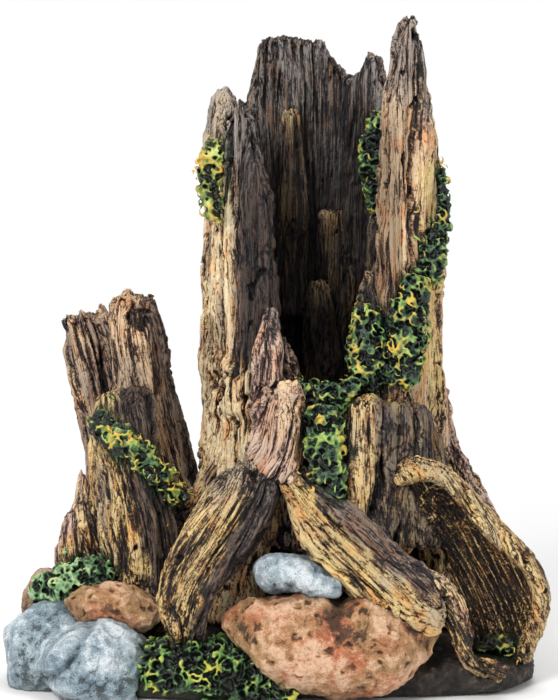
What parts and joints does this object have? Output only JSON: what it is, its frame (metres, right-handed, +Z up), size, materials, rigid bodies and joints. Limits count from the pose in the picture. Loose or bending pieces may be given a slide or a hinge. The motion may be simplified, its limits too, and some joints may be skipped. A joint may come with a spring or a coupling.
{
  "type": "aquarium cave ornament",
  "caption": "Hollow broken tree-stump ornament: splintered trunk walls open at the front and top, spreading roots over a small cave, a side snag, stones and moss on a flat base.",
  "frame": {"origin": "on the base's flat underside, under the middle of the ornament", "axes": "+Z up the trunk, +X to the right as seen from the open front, -Y towards the front, millimetre model stored in metres"},
  "size_m": [0.1517, 0.105, 0.185],
  "materials": {
    "bark": "painted polyresin, tan and ochre dry-brush on raised grain over a near-black wash, satin",
    "grey_wood": "painted polyresin, weathered grey-brown grain over a dark wash, satin",
    "dark_wood": "painted polyresin, dark purple-brown with lit ochre edges, satin",
    "orange_stone": "painted polyresin, salmon orange with dark pits and pale highlights, satin",
    "blue_stone": "painted polyresin, speckled blue-grey with dark hollows, satin",
    "moss": "painted polyresin, deep green with yellow-green tips, satin",
    "earth": "painted polyresin, dark brown-black earth, matt"
  },
  "bodies": {
    "root": {"base": "earth", "trunk_back_wall": "grey_wood", "trunk_left_wall": "bark", "trunk_right_wall": "bark", "trunk_front_apron": "bark", "root_collar": "bark", "inner_rib": "dark_wood", "inner_slab": "dark_wood", "inner_stub": "dark_wood", "inner_tall_spike": "dark_wood", "inner_short_spike": "bark", "inner_left_stub": "dark_wood", "front_stub": "bark", "front_splinter": "bark", "left_root": "bark", "right_root": "bark", "root_toe": "bark", "left_buttress": "dark_wood", "arch_root": "bark", "right_buttress": "bark", "snag_tall_log": "bark", "snag_back_log": "grey_wood", "snag_front_log": "bark", "snag_tall_stub": "bark", "snag_short_stub": "bark", "orange_boulder": "orange_stone", "blue_stone": "blue_stone", "blue_rock": "blue_stone", "orange_pebble": "orange_stone", "back_pebble": "orange_stone", "moss_ground": "moss", "moss_snag": "moss", "moss_rocks": "moss", "moss_left_wall": "moss", "moss_inner_back": "moss", "moss_right_wall": "moss", "moss_right_cascade": "moss", "moss_inner_right": "moss", "moss_ledge": "moss", "moss_front_cascade": "moss", "moss_alcove": "moss"}
  },
  "joints": []
}
